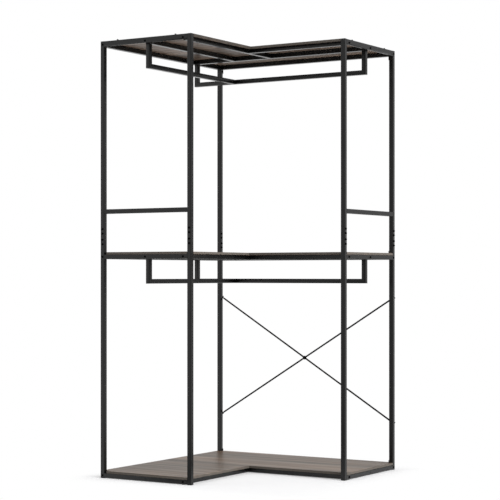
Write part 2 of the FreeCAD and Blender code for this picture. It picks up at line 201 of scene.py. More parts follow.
class RackStudio(bpy.types.PropertyGroup):
    """Camera, floor and light"""

    camera_place: FloatVectorProperty(
        name="Camera Place", description="Where the camera stands", subtype="TRANSLATION",
        default=(3.98128, -6.39408, 0.93304),
    )
    camera_heading: FloatProperty(
        name="Camera Heading", description="Turn of the level camera about the upright axis",
        subtype="ANGLE", default=math.radians(31.937),
    )
    camera_lens: FloatProperty(
        name="Lens", description="Focal length on a 36 mm sensor", subtype="DISTANCE_CAMERA",
        default=115.83,
    )
    camera_rise: FloatProperty(
        name="Rise", description="Upward shift of the picture, as a share of its width",
        default=0.0487,
    )
    floor_pale: FloatVectorProperty(
        name="Floor", description="Colour of the pale floor", subtype="COLOR",
        default=(0.9, 0.9, 0.91), min=0, max=1,
    )
    sky_strength: FloatProperty(
        name="Sky", description="Strength of the even light from all round", default=0.42, min=0,
    )
    key_power: FloatProperty(
        name="Key Light", description="Power of the large lamp at the right", unit="POWER",
        default=1760, min=0,
    )
    fill_power: FloatProperty(
        name="Fill Light", description="Power of the large lamp at the left", unit="POWER",
        default=55, min=0,
    )


# Node helpers

# Cosine between a rounded and a flat normal where an edge starts and where it is full
EDGE_SPAN = (0.97, 0.75)


def feed(tree, socket, value):
    """Link a socket to another node's output, or set its value."""
    if isinstance(value, bpy.types.NodeSocket):
        tree.links.new(value, socket)
    else:
        socket.default_value = value


def identified(sockets, identifier):
    """The socket of that identifier, where several share a name."""
    return next(socket for socket in sockets if socket.identifier == identifier)


def add(tree, kind, inputs=None, **settings):
    """New node with its settings made and its inputs set or linked, by socket name or number."""
    node = tree.nodes.new(kind)
    for name, value in settings.items():
        setattr(node, name, value)
    for name, value in (inputs or {}).items():
        feed(tree, node.inputs[name], value)
    return node


def operands(first, second):
    """Inputs of an operation on one value or two."""
    return {0: first} if second is None else {0: first, 1: second}


def math_node(tree, operation, first, second=None):
    return add(tree, "ShaderNodeMath", operands(first, second), operation=operation).outputs["Value"]


def vector_node(tree, operation, first, second=None):
    """Outputs of a vector operation: Vector, or Value for a length or a dot product."""
    return add(tree, "ShaderNodeVectorMath", operands(first, second), operation=operation).outputs


def remap(tree, value, span, result=(0.0, 1.0), interpolation="LINEAR"):
    """Value taken from a span to a result, and held at its ends."""
    inputs = {
        "Value": value,
        "From Min": span[0],
        "From Max": span[1],
        "To Min": result[0],
        "To Max": result[1],
    }
    return add(tree, "ShaderNodeMapRange", inputs, interpolation_type=interpolation).outputs["Result"]


def opaque(colour, tone=1.0):
    """A colour without transparency, made darker or lighter by its tone."""
    return (*(channel * tone for channel in colour), 1.0)


def mix_colour(tree, factor, first, second, blend="MIX"):
    node = add(tree, "ShaderNodeMix", data_type="RGBA", blend_type=blend, clamp_factor=True)
    for identifier, value in (("Factor_Float", factor), ("A_Color", first), ("B_Color", second)):
        feed(tree, identified(node.inputs, identifier), value)
    return identified(node.outputs, "Result_Color")


def stretched(tree, place, scale):
    """Coordinates that draw a pattern out along each axis of small scale."""
    return add(tree, "ShaderNodeMapping", {"Vector": place, "Scale": scale}).outputs["Vector"]


def noise(tree, vector, scale, detail, roughness=0.5):
    inputs = {"Vector": vector, "Scale": scale, "Detail": detail, "Roughness": roughness}
    return add(tree, "ShaderNodeTexNoise", inputs).outputs["Fac"]


def bump(tree, height, strength, depth):
    inputs = {"Height": height, "Strength": strength, "Distance": depth}
    return add(tree, "ShaderNodeBump", inputs).outputs["Normal"]


def edge_share(tree, radius):
    """1 on an outer edge and 0 on the flat, from how far a rounded normal turns."""
    rounded = add(tree, "ShaderNodeBevel", {"Radius": radius}, samples=4).outputs["Normal"]
    flat = add(tree, "ShaderNodeNewGeometry").outputs["True Normal"]
    return remap(tree, vector_node(tree, "DOT_PRODUCT", rounded, flat)["Value"], EDGE_SPAN)


def blank_material(name):
    """Material with one Principled surface, its node tree and its Object coordinates."""
    material = bpy.data.materials.new(name)
    material.use_nodes = True
    tree = material.node_tree
    surface = tree.nodes["Principled BSDF"]
    place = add(tree, "ShaderNodeTexCoord").outputs["Object"]
    return material, tree, surface, place


def set_surface(tree, surface, **inputs):
    """Set or link sockets of a Principled surface, named with _ for spaces."""
    for name, value in inputs.items():
        feed(tree, surface.inputs[name.replace("_", " ")], value)


# Finishes

# Limits between which most of a noise lies
NOISE_SPAN = (0.3, 0.7)

# Powder coat: mirrored share on the frame and on the rods, and spread of its roughness to either side
FRAME_GLOSS = 0.42
ROD_GLOSS = 0.08
COAT_SPREAD = 0.05
# Its tone in the hollows and on the crowns of the grain
HOLLOW_TONE = 0.9
CROWN_TONE = 1.1
# Painted highlight on its edges, lighter than the coat: tone, width, limits of the noise that brings it
# out, and share at most
EDGE_HIGHLIGHT_TONE = 1.6
EDGE_HIGHLIGHT_WIDTH = 1.2 * MILLIMETRE
EDGE_HIGHLIGHT_SPAN = (0.45, 0.7)
EDGE_HIGHLIGHT_SHARE = 0.5

# Blackened steel: mirrored share, roughness, and the tone, noise limits and share of its bright marks
BOLT_GLOSS = 0.06
BOLT_ROUGHNESS = (0.36, 0.5)
MARK_TONE = 1.8
MARK_SPAN = (0.4, 0.7)
MARK_SHARE = 0.7

# Moulded plastic: tone of the crowns of its grain, and roughness
PLASTIC_TONE = 1.5
PLASTIC_ROUGHNESS = (0.5, 0.66)

# Bare steel: its two tones, roughness, and the scale that draws its lines out along the height
STEEL_DARK = (0.36, 0.36, 0.37)
STEEL_BRIGHT = (0.52, 0.52, 0.53)
STEEL_ROUGHNESS = (0.3, 0.46)
STEEL_SCALE = (1.0, 1.0, 0.02)

# Wood decor: shares of its layers in the tone, and the tones that are dark, middling and light
DRIFT_SHARE = 0.34
BAND_SHARE = 0.36
STREAK_SHARE = 0.24
WAVE_SHARE = 0.06
DARK_STOP = 0.41
MIDDLE_STOP = 0.5
LIGHT_STOP = 0.59
# Tint of its warmer drifts, and limits of the noise that brings them in
WARM_TINT = (1.09, 0.97, 0.89, 1.0)
WARM_SPAN = (0.42, 0.58)
# Limits of the noise that opens its pores, and their share at most
PORE_SPAN = (0.56, 0.7)
PORE_SHARE = 0.4
# Part of a face's normal along an axis where the face starts to face that way and where it fully does
FACING_SPAN = (0.2, 0.8)
# Cover of the band on upright faces, and its tone on faces that face left and right, as painted light on
# boards and painted shade on top panels
BAND_COVER = 0.9
BOARD_SIDE_LIGHT = 1.25
PANEL_SIDE_SHADE = 0.5
# Painted highlight on the edges of the boards, in the light wood tone: tone, width and share
WOOD_HIGHLIGHT_TONE = 1.1
WOOD_HIGHLIGHT_WIDTH = 0.8 * MILLIMETRE
WOOD_HIGHLIGHT_SHARE = 0.1
# Mirrored share of the seal, and spread of its roughness below and above
SEAL_GLOSS = 0.07
SEAL_BELOW = 0.04
SEAL_ABOVE = 0.08


def powder_coat(name, colour, roughness, gloss):
    """Satin black coat with a fine orange peel and a painted highlight on its edges."""
    material, tree, surface, place = blank_material(name)
    grain = noise(tree, place, scale=1500.0, detail=2.0)
    peel = noise(tree, place, scale=330.0, detail=1.0)
    cloud = noise(tree, place, scale=9.0, detail=2.0)
    # Painted highlight: the coat turns lighter along its outer edges, in noisy patches
    highlight_patches = remap(tree, cloud, EDGE_HIGHLIGHT_SPAN, (0.0, EDGE_HIGHLIGHT_SHARE))
    edge_highlight = math_node(tree, "MULTIPLY", edge_share(tree, EDGE_HIGHLIGHT_WIDTH), highlight_patches)
    coat = mix_colour(tree, grain, opaque(colour, HOLLOW_TONE), opaque(colour, CROWN_TONE))
    relief = math_node(tree, "ADD", grain, peel)
    set_surface(
        tree, surface,
        Base_Color=mix_colour(tree, edge_highlight, coat, opaque(colour, EDGE_HIGHLIGHT_TONE)),
        Roughness=remap(tree, cloud, NOISE_SPAN, (roughness - COAT_SPREAD, roughness + COAT_SPREAD)),
        Specular_IOR_Level=gloss,
        Normal=bump(tree, relief, strength=0.05, depth=0.03 * MILLIMETRE),
    )
    return material


def blackened_steel(name, colour):
    """Dark plated steel of bolts and screws, with faint turning marks."""
    material, tree, surface, place = blank_material(name)
    fine = noise(tree, place, scale=2600.0, detail=2.0)
    cloud = noise(tree, place, scale=60.0, detail=1.0)
    marks = remap(tree, fine, MARK_SPAN, (0.0, MARK_SHARE))
    set_surface(
        tree, surface,
        Base_Color=mix_colour(tree, marks, opaque(colour), opaque(colour, MARK_TONE)),
        Roughness=remap(tree, cloud, NOISE_SPAN, BOLT_ROUGHNESS),
        Specular_IOR_Level=BOLT_GLOSS,
        Normal=bump(tree, fine, strength=0.15, depth=0.03 * MILLIMETRE),
    )
    return material


def moulded_plastic(name, colour):
    """Matt moulded plastic with a spark-eroded grain."""
    material, tree, surface, place = blank_material(name)
    grain = noise(tree, place, scale=2200.0, detail=3.0, roughness=0.6)
    set_surface(
        tree, surface,
        Base_Color=mix_colour(tree, grain, opaque(colour), opaque(colour, PLASTIC_TONE)),
        Roughness=remap(tree, grain, NOISE_SPAN, PLASTIC_ROUGHNESS),
        Normal=bump(tree, grain, strength=0.4, depth=0.05 * MILLIMETRE),
    )
    return material


def drawn_steel(name):
    """Bare steel with draw lines along its height."""
    material, tree, surface, place = blank_material(name)
    lines = noise(tree, stretched(tree, place, STEEL_SCALE), scale=1800.0, detail=3.0)
    set_surface(
        tree, surface,
        Base_Color=mix_colour(tree, lines, opaque(STEEL_DARK), opaque(STEEL_BRIGHT)),
        Metallic=1.0,
        Roughness=remap(tree, lines, NOISE_SPAN, STEEL_ROUGHNESS),
        Normal=bump(tree, lines, strength=0.2, depth=0.03 * MILLIMETRE),
    )
    return material


def grain_layer(tree, place, along, across, scale, detail, roughness=0.5):
    """Noise drawn out along the right arm, as the grain runs."""
    return noise(tree, stretched(tree, place, (along, across, across)), scale, detail, roughness)


def decor_tone(tree, place, streaks):
    """Lightness of the decor, from slow drifts, bands, streaks and a little of a wavy figure."""
    drift = grain_layer(tree, place, along=0.35, across=2.4, scale=3.0, detail=2.0)
    bands = grain_layer(tree, place, along=0.5, across=7.0, scale=3.0, detail=3.0, roughness=0.55)
    figure = {
        "Vector": stretched(tree, place, (0.1, 1.0, 1.0)),
        "Scale": 5.5,
        "Distortion": 7.0,
        "Detail": 3.0,
        "Detail Scale": 1.6,
    }
    waves = add(tree, "ShaderNodeTexWave", figure, bands_direction="Y").outputs["Fac"]
    tone = math_node(tree, "MULTIPLY", drift, DRIFT_SHARE)
    for layer, share in ((bands, BAND_SHARE), (streaks, STREAK_SHARE), (waves, WAVE_SHARE)):
        tone = math_node(tree, "ADD", tone, math_node(tree, "MULTIPLY", layer, share))
    return tone


def decor_colour(tree, place, tone, finishes):
    """Colour of the decor at that tone, warmer in places."""
    ramp = add(tree, "ShaderNodeValToRGB", {"Fac": tone})
    stops = ramp.color_ramp.elements
    stops[0].position = DARK_STOP
    stops[0].color = opaque(finishes.wood_dark)
    stops[1].position = LIGHT_STOP
    stops[1].color = opaque(finishes.wood_light)
    stops.new(MIDDLE_STOP).color = opaque(finishes.wood_middle)
    drifts = grain_layer(tree, place, along=0.6, across=4.0, scale=2.0, detail=2.0)
    warmth = remap(tree, drifts, WARM_SPAN)
    return mix_colour(tree, warmth, ramp.outputs["Color"], WARM_TINT, "MULTIPLY")


def banded(tree, decor, edge_colour, painted_side_tone):
    """Decor with a band over its upright faces, whose faces that face left and right carry a painted
    light-and-shade tone.
    """
    normal = add(tree, "ShaderNodeNewGeometry").outputs["True Normal"]
    parts = add(tree, "ShaderNodeSeparateXYZ", {0: normal}).outputs
    sideways = remap(tree, math_node(tree, "ABSOLUTE", parts["X"]), FACING_SPAN)
    upright = remap(tree, math_node(tree, "ABSOLUTE", parts["Z"]), FACING_SPAN, (BAND_COVER, 0.0))
    # Painted light and shade: the band's tone changes on faces that face left and right
    band = mix_colour(tree, sideways, opaque(edge_colour), opaque(edge_colour, painted_side_tone))
    return mix_colour(tree, upright, decor, band)


def wood_grain(name, finishes, painted_side_tone):
    """Grey-brown wood decor whose grain runs along the right arm, with a satin seal, banded edges whose
    faces that face left and right carry a painted light-and-shade tone, and a painted highlight along its
    edges.
    """
    material, tree, surface, place = blank_material(name)
    streaks = grain_layer(tree, place, along=1.0, across=28.0, scale=6.0, detail=5.0, roughness=0.62)
    dots = grain_layer(tree, place, along=5.0, across=190.0, scale=8.0, detail=2.0)
    pores = remap(tree, dots, PORE_SPAN, (0.0, PORE_SHARE))
    decor = decor_colour(tree, place, decor_tone(tree, place, streaks), finishes)
    porous = mix_colour(tree, pores, decor, opaque(finishes.wood_dark))
    edged = banded(tree, porous, finishes.wood_edge, painted_side_tone)
    # Painted highlight: a little of the light wood tone along the outer edges
    wood_highlight = math_node(tree, "MULTIPLY", edge_share(tree, WOOD_HIGHLIGHT_WIDTH), WOOD_HIGHLIGHT_SHARE)
    rough = finishes.wood_roughness
    relief = math_node(tree, "SUBTRACT", streaks, pores)
    set_surface(
        tree, surface,
        Base_Color=mix_colour(tree, wood_highlight, edged, opaque(finishes.wood_light, WOOD_HIGHLIGHT_TONE)),
        Roughness=remap(tree, streaks, NOISE_SPAN, (rough - SEAL_BELOW, rough + SEAL_ABOVE)),
        Specular_IOR_Level=SEAL_GLOSS,
        Normal=bump(tree, relief, strength=0.12, depth=0.1 * MILLIMETRE),
    )
    return material


def finish(slot):
    """The rack's material of that slot, made when it is first asked for."""
    label = f"{slot}_finish"
    made = bpy.data.materials.get(label)
    if made:
        return made
    finishes = bpy.context.scene.rack_finishes
    roughness = finishes.frame_roughness
    maker, *details = {
        "black_frame": (powder_coat, finishes.frame_black, roughness, FRAME_GLOSS),
        "black_bar": (powder_coat, finishes.bar_black, roughness, FRAME_GLOSS),
        "black_rod": (powder_coat, finishes.rod_black, roughness, ROD_GLOSS),
        "black_bolt": (blackened_steel, finishes.bolt_black),
        "black_plastic": (moulded_plastic, finishes.plastic_black),
        "bare_steel": (drawn_steel,),
        # Board and panel copies differ only in the tone of faces that face left and right: painted light on
        # boards, painted shade on panels
        "wood_board": (wood_grain, finishes, BOARD_SIDE_LIGHT),
        "wood_panel": (wood_grain, finishes, PANEL_SIDE_SHADE),
    }[slot]
    return maker(label, *details)


def dress(name, slot):
    """Give a CAD node its finish."""
    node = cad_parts[name]
    if not node.material_slots:
        node.data.materials.append(finish(slot))
    for entry in node.material_slots:
        entry.material = finish(slot)


def seat(piece):
    """Let a new piece ride on the rack."""
    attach(piece, "root")
    return piece


# Places read from the frame

def centre(name):
    low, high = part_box(name)
    return (low + high) / 2


def level_height(level):
    """Height of the middle of a level's rails."""
    return centre(f"{level}_left_middle_rail").z


# Fasteners: a turned head with a recess, set at each point of a cloud

FASTENER_LENGTHS = (
    "Head Radius", "Head Height", "Shank Radius", "Shank Length", "Recess Radius", "Recess Depth",
)
HEAD_SEGMENTS = 24
CROSS_SEGMENTS = 32
# Straight rim of a head, as a share of its height
RIM_SHARE = 0.34
# Steps of the dome over it: share of the radius, share of the height
DOME = ((0.95, 0.62), (0.82, 0.86), (0.66, 0.97), (0.56, 1.0))
# Bottom of a recess, as a share of its mouth
RECESS_TAPER = 0.85
# Angle from a cross arm's middle to its corner, and the least slope that its side is worked out with
CROSS_CORNER = math.pi / 16
LEAST_SLOPE = 0.001
TURN_SEED = 7
# Turn between two faces above which their edge stays sharp
FASTENER_SHARP = math.radians(28)


def hexagon_reach(tree, angle, radius):
    """Distance from the middle of a hexagon to its outline, by angle."""
    sixth = math.pi / 3
    turn = math_node(tree, "SUBTRACT", math_node(tree, "FLOORED_MODULO", angle, sixth), sixth / 2)
    flat = math_node(tree, "MULTIPLY", radius, math.cos(sixth / 2))
    return math_node(tree, "DIVIDE", flat, math_node(tree, "COSINE", turn))


def cross_reach(tree, angle, radius):
    """Distance from the middle of a cross to its outline, by angle."""
    across = math_node(tree, "ABSOLUTE", math_node(tree, "COSINE", angle))
    up = math_node(tree, "ABSOLUTE", math_node(tree, "SINE", angle))
    tip = math_node(tree, "DIVIDE", radius, math_node(tree, "MAXIMUM", across, up))
    slope = math_node(tree, "MAXIMUM", math_node(tree, "MINIMUM", across, up), LEAST_SLOPE)
    half_arm = math_node(tree, "MULTIPLY", radius, math.tan(CROSS_CORNER))
    return math_node(tree, "MINIMUM", tip, math_node(tree, "DIVIDE", half_arm, slope))


def extrude(tree, mesh, chosen, depth):
    """Chosen faces moved out as one, with the walls that this leaves."""
    inputs = {"Mesh": mesh, "Selection": chosen, "Offset Scale": depth, "Individual": False}
    return add(tree, "GeometryNodeExtrudeMesh", inputs, mode="FACES").outputs


def shrink(tree, mesh, chosen, share):
    """Chosen faces made smaller or larger about their middle."""
    inputs = {"Geometry": mesh, "Selection": chosen, "Scale": share}
    return add(tree, "GeometryNodeScaleElements", inputs, domain="FACE").outputs["Geometry"]


def recess_outline(tree, reach, radius):
    """Where a point of a recess's mouth goes, on the outline that reach gives."""
    position = add(tree, "GeometryNodeInputPosition").outputs["Position"]
    spot = add(tree, "ShaderNodeSeparateXYZ", {0: position}).outputs
    angle = math_node(tree, "ARCTAN2", spot["Y"], spot["X"])
    distance = reach(tree, angle, radius)
    inputs = {
        "X": math_node(tree, "MULTIPLY", distance, math_node(tree, "COSINE", angle)),
        "Y": math_node(tree, "MULTIPLY", distance, math_node(tree, "SINE", angle)),
        "Z": spot["Z"],
    }
    return add(tree, "ShaderNodeCombineXYZ", inputs).outputs["Vector"]


def fastener_shape(tree, given, segments, reach):
    """One fastener that faces up: a rim, a dome with a recess, and a shank below."""
    radius = given["Head Radius"]
    height = given["Head Height"]
    rim = math_node(tree, "MULTIPLY", height, RIM_SHARE)
    inputs = {"Vertices": segments, "Side Segments": 1, "Fill Segments": 1, "Radius": radius, "Depth": rim}
    disc = add(tree, "GeometryNodeMeshCylinder", inputs, fill_type="NGON").outputs
    half_rim = math_node(tree, "DIVIDE", rim, 2.0)
    lift = add(tree, "ShaderNodeCombineXYZ", {"Z": half_rim}).outputs["Vector"]
    inputs = {"Geometry": disc["Mesh"], "Translation": lift}
    mesh = add(tree, "GeometryNodeTransform", inputs).outputs["Geometry"]
    face = disc["Top"]
    last_radius = 1.0
    last_height = RIM_SHARE
    for share, rise in DOME:
        step = extrude(tree, mesh, face, math_node(tree, "MULTIPLY", height, rise - last_height))
        mesh = shrink(tree, step["Mesh"], step["Top"], share / last_radius)
        face = step["Top"]
        last_radius = share
        last_height = rise
    mouth = extrude(tree, mesh, face, 0.0)
    inputs = {
        "Geometry": mouth["Mesh"],
        "Selection": mouth["Top"],
        "Position": recess_outline(tree, reach, given["Recess Radius"]),
    }
    shaped = add(tree, "GeometryNodeSetPosition", inputs).outputs["Geometry"]
    sink = math_node(tree, "MULTIPLY", given["Recess Depth"], -1.0)
    recess = extrude(tree, shaped, mouth["Top"], sink)
    mesh = shrink(tree, recess["Mesh"], recess["Top"], RECESS_TAPER)
    underside = extrude(tree, mesh, disc["Bottom"], 0.0)
    neck_share = math_node(tree, "DIVIDE", given["Shank Radius"], radius)
    neck = shrink(tree, underside["Mesh"], underside["Top"], neck_share)
    return extrude(tree, neck, underside["Top"], given["Shank Length"])["Mesh"]


def fastener_turn(tree):
    """Rotation that stands a fastener along its point's facing, turned at random about its axis."""
    facing = add(tree, "GeometryNodeInputNamedAttribute", {"Name": "facing"}, data_type="FLOAT_VECTOR")
    inputs = {"Vector": facing.outputs["Attribute"]}
    upright = add(tree, "FunctionNodeAlignRotationToVector", inputs, axis="Z").outputs["Rotation"]
    chance = add(tree, "FunctionNodeRandomValue", {"Seed": TURN_SEED}, data_type="FLOAT")
    feed(tree, identified(chance.inputs, "Min_001"), 0.0)
    feed(tree, identified(chance.inputs, "Max_001"), math.pi)
    inputs = {"Axis": UPWARD, "Angle": identified(chance.outputs, "Value_001")}
    spin = add(tree, "FunctionNodeAxisAngleToRotation", inputs).outputs["Rotation"]
    inputs = {"Rotation": upright, "Rotate By": spin}
    return add(tree, "FunctionNodeRotateRotation", inputs, rotation_space="LOCAL").outputs["Rotation"]


def fastener_tree(name, segments, reach):
    """Node tree that turns points with a facing into realised bolts or screws."""
    tree = bpy.data.node_groups.new(name, "GeometryNodeTree")
    sockets = tree.interface
    sockets.new_socket("Geometry", in_out="INPUT", socket_type="NodeSocketGeometry")
    for label in FASTENER_LENGTHS:
        socket = sockets.new_socket(label, in_out="INPUT", socket_type="NodeSocketFloat")
        socket.subtype = "DISTANCE"
    sockets.new_socket("Finish", in_out="INPUT", socket_type="NodeSocketMaterial")
    sockets.new_socket("Geometry", in_out="OUTPUT", socket_type="NodeSocketGeometry")
    given = add(tree, "NodeGroupInput").outputs
    inputs = {
        "Points": given["Geometry"],
        "Instance": fastener_shape(tree, given, segments, reach),
        "Rotation": fastener_turn(tree),
    }
    placed = add(tree, "GeometryNodeInstanceOnPoints", inputs).outputs["Instances"]
    real = add(tree, "GeometryNodeRealizeInstances", {"Geometry": placed}).outputs["Geometry"]
    coated = add(tree, "GeometryNodeSetMaterial", {"Geometry": real, "Material": given["Finish"]})
    add(tree, "NodeGroupOutput", {"Geometry": coated.outputs["Geometry"]})
    return tree


def point_cloud(name, sites):
    """Mesh object of loose points, each with the way it faces."""
    mesh = bpy.data.meshes.new(name)
    mesh.from_pydata([spot for spot, _ in sites], [], [])
    facing = mesh.attributes.new("facing", "FLOAT_VECTOR", "POINT")
    for entry, (_, way) in zip(facing.data, sites):
        entry.vector = way
    piece = bpy.data.objects.new(name, mesh)
    bpy.context.scene.collection.objects.link(piece)
    return piece


def plain_mesh(piece):
    """Replace a piece's mesh by what its modifiers make of it."""
    bpy.context.view_layer.update()
    evaluated = piece.evaluated_get(bpy.context.evaluated_depsgraph_get())
    mesh = bpy.data.meshes.new_from_object(evaluated)
    piece.modifiers.clear()
    piece.data = mesh
    mesh.shade_smooth()
    mesh.set_sharp_from_angle(angle=FASTENER_SHARP)


def fasteners(name, sites, tree, sizes, slot="black_bolt"):
    """One piece that holds a fastener at each site."""
    piece = point_cloud(name, sites)
    modifier = piece.modifiers.new("fasteners", "NODES")
    modifier.node_group = tree
    for label, value in {**sizes, "Finish": finish(slot)}.items():
        socket = next(
            entry for entry in tree.interface.items_tree
            if entry.item_type == "SOCKET" and entry.in_out == "INPUT" and entry.name == label
        )
        modifier[socket.identifier] = value
    plain_mesh(piece)
    if not piece.data.polygons:
        raise RuntimeError(f"{name} came out empty")
    return seat(piece)


# Sites of the fasteners: a spot and the way that its head faces

# Heights of the four bolts of a post joint, from the joint line
JOINT_BOLTS = (-0.0345, -0.014, 0.014, 0.0345)
TAB_THICKNESS = 0.0025
# Screw height from the free end of a tab
TAB_SCREW = {"bottom": 0.0055, "middle": 0.0055, "top": 0.009}
# Places of the screws on a top end rail, from the outer side of the arm
TOP_SCREWS = (0.09, 0.41)
EYE_THICKNESS = 0.002
EYE_RADIUS = 0.008
ROD_RADIUS = 0.003
RIVET_SINK = 0.0006


def post_joint_sites():
    """Four heads in a row at the joint of each post."""
    sites = []
    for post in POSTS:
        low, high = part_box(f"{post}_lower")
        middle = (low + high) / 2
        way = FORWARD if post.startswith("left") else RIGHTWARD
        spot = Vector((middle.x, low.y, high.z)) if way == FORWARD else Vector((high.x, middle.y, high.z))
        for offset in JOINT_BOLTS:
            sites.append((spot + UPWARD * offset, way))
    return sites


def end_frame_sites(painted):
    """Heads on the end frames: the two painted ones low down at the middle rails, or all others."""
    sites = []
    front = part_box("left_end_rail_bottom")[0].y
    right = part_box("right_end_rail_bottom")[1].x
    for level in LEVELS:
        height = level_height(level)
        for place in ("outer", "middle", "inner"):
            if painted != (level == "bottom" and place == "middle"):
                continue
            across = centre(f"{level}_left_{place}_rail").x
            sites.append((Vector((across, front, height)), FORWARD))
            along = centre(f"{level}_right_{place}_rail").y
            sites.append((Vector((right, along, height)), RIGHTWARD))
    return sites


def rail_joint_sites():
    """Heads where a rail or bar is bolted to the tube that it meets away from the end frames."""
    sites = []
    corner = centre("corner_post_lower")
    corner_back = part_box("corner_post_lower")[1].y
    for level in LEVELS:
        height = level_height(level)
        outer_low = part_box(f"{level}_left_outer_rail")[0]
        cross_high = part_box(f"{level}_right_middle_rail")[1]
        cross = centre(f"{level}_right_middle_rail")
        inner_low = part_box(f"{level}_left_inner_rail")[0]
        sites.append((Vector((outer_low.x, cross.y, height)), LEFTWARD))
        for place in ("middle", "inner"):
            across = centre(f"{level}_left_{place}_rail").x
            sites.append((Vector((across, cross_high.y, height)), BACKWARD))
        sites.append((Vector((inner_low.x, centre(f"{level}_right_inner_rail").y, height)), LEFTWARD))
        sites.append((Vector((corner.x, corner_back, height)), BACKWARD))
    for bar in ("upper", "lower"):
        low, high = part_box(f"{bar}_right_hanging_bar")
        across = centre(f"{bar}_left_hanging_bar").x
        tube = high.y - low.y
        sites.append((Vector((across, high.y, low.z + tube / 2)), BACKWARD))
    return sites


def tab_sites():
    """A screw on the inner face of each end tab of the right outer rails."""
    sites = []
    for level in LEVELS:
        low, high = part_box(f"{level}_right_outer_rail")
        height = low.z + TAB_SCREW[level] if level == "top" else high.z - TAB_SCREW[level]
        along = (low.y + high.y) / 2
        sites.append((Vector((low.x + TAB_THICKNESS, along, height)), RIGHTWARD))
        sites.append((Vector((high.x - TAB_THICKNESS, along, height)), LEFTWARD))
    return sites


def top_rail_sites():
    """Two screws on top of each top end rail."""
    sites = []
    left = centre("left_end_rail_top")
    right = centre("right_end_rail_top")
    outer_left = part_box("left_outer_post_upper")[0].x
    outer_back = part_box("right_outer_post_upper")[1].y
    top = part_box("left_end_rail_top")[1].z
    for offset in TOP_SCREWS:
        sites.append((Vector((outer_left + offset, left.y, top)), UPWARD))
        sites.append((Vector((right.x, outer_back - offset, top)), UPWARD))
    return sites


def brace_sites(stand_off):
    """Places on the eyes at the rods' ends, behind the posts."""
    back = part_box("corner_post_lower")[1].y + stand_off
    low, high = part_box("brace_rod_falling")
    sites = []
    for across in (low.x + EYE_RADIUS, high.x - EYE_RADIUS):
        for height in (low.z + EYE_RADIUS, high.z - EYE_RADIUS):
            sites.append((Vector((across, back, height)), BACKWARD))
    return sites


def rivet_sites():
    """The rivet's two heads, sunk a little into the rods where they cross."""
    middle = centre("brace_rod_falling")
    back = max(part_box(rod)[1].y for rod in ("brace_rod_falling", "brace_rod_rising"))
    front = back - 2 * ROD_RADIUS
    return [
        (Vector((middle.x, back - RIVET_SINK, middle.z)), BACKWARD),
        (Vector((middle.x, front + RIVET_SINK, middle.z)), FORWARD),
    ]


# Bars, lips and tubes

BAR_SEGMENTS = 20
# Turn between two faces above which their edge stays sharp
BAR_SHARP = math.radians(40)
COAT_EASING = 0.0015
STUD_EASING = 0.0006
PAD_EASING = 0.0006
LIP_EASING = 0.0004
LIP_DROP = 0.004
LIP_THICKNESS = 0.003
# Quarter round at a bar's ends: share of its size along the bar, share of it off the radius
EASING = ((0.0, 1.0), (0.3, 0.29), (1.0, 0.0))
# Bare length of a rod next to its eye's middle and next to the crossing
EYE_CLEAR = 0.016
CROSS_CLEAR = 0.009
# Rounded corners of the square tube
CORNER_RADIUS = 0.002
CORNER_STEPS = 4


def loft(shell, rings):
    """Skin closed rings of points in turn, and cap the first and the last."""
    for ring, following in zip(rings, rings[1:]):
        for index in range(len(ring)):
            other = (index + 1) % len(ring)
            shell.faces.new((ring[index], ring[other], following[other], following[index]))
    shell.faces.new(rings[0])
    shell.faces.new(rings[-1])


def skinned(name, shell, slot):
    """Piece from a finished shell."""
    bmesh.ops.recalc_face_normals(shell, faces=shell.faces)
    mesh = bpy.data.meshes.new(name)
    shell.to_mesh(mesh)
    shell.free()
    mesh.materials.append(finish(slot))
    mesh.shade_smooth()
    mesh.set_sharp_from_angle(angle=BAR_SHARP)
    piece = bpy.data.objects.new(name, mesh)
    bpy.context.scene.collection.objects.link(piece)
    return seat(piece)


def round_bars(name, ends, radius, easing, slot):
    """One piece of round bars with eased ends, a bar between each pair of points."""
    shell = bmesh.new()
    for start, end in ends:
        along = (end - start).normalized()
        across = along.orthogonal().normalized()
        up = along.cross(across)
        length = (end - start).length
        stations = [(easing * onward, radius - easing * inward) for onward, inward in EASING]
        stations += [(length - onward, reach) for onward, reach in reversed(stations)]
        rings = []
        for onward, reach in stations:
            ring = []
            for step in range(BAR_SEGMENTS):
                angle = 2 * math.pi * step / BAR_SEGMENTS
                out = across * math.cos(angle) + up * math.sin(angle)
                ring.append(shell.verts.new(start + along * onward + out * reach))
            rings.append(ring)
        loft(shell, rings)
    return skinned(name, shell, slot)


def eased_boxes(name, boxes, easing, slot):
    """One piece of boxes with eased edges, one between each pair of corners."""
    shell = bmesh.new()
    for low, high in boxes:
        middle = (low + high) / 2
        stretch = Matrix.Diagonal(high - low)
        for corner in bmesh.ops.create_cube(shell, size=1.0)["verts"]:
            corner.co = middle + stretch @ corner.co
    bmesh.ops.bevel(shell, geom=shell.edges[:], offset=easing, segments=2, profile=0.5, affect="EDGES")
    return skinned(name, shell, slot)


def rail_lip_boxes():
    """Folded lips that stand below the outer faces of the top end rails."""
    low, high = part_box("left_end_rail_top")
    left = (
        Vector((low.x, low.y, low.z - LIP_DROP)),
        Vector((high.x, low.y + LIP_THICKNESS, low.z + CORNER_RADIUS)),
    )
    low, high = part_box("right_end_rail_top")
    right = (
        Vector((high.x - LIP_THICKNESS, low.y, low.z - LIP_DROP)),
        Vector((high.x, high.y, low.z + CORNER_RADIUS)),
    )
    return [left, right]


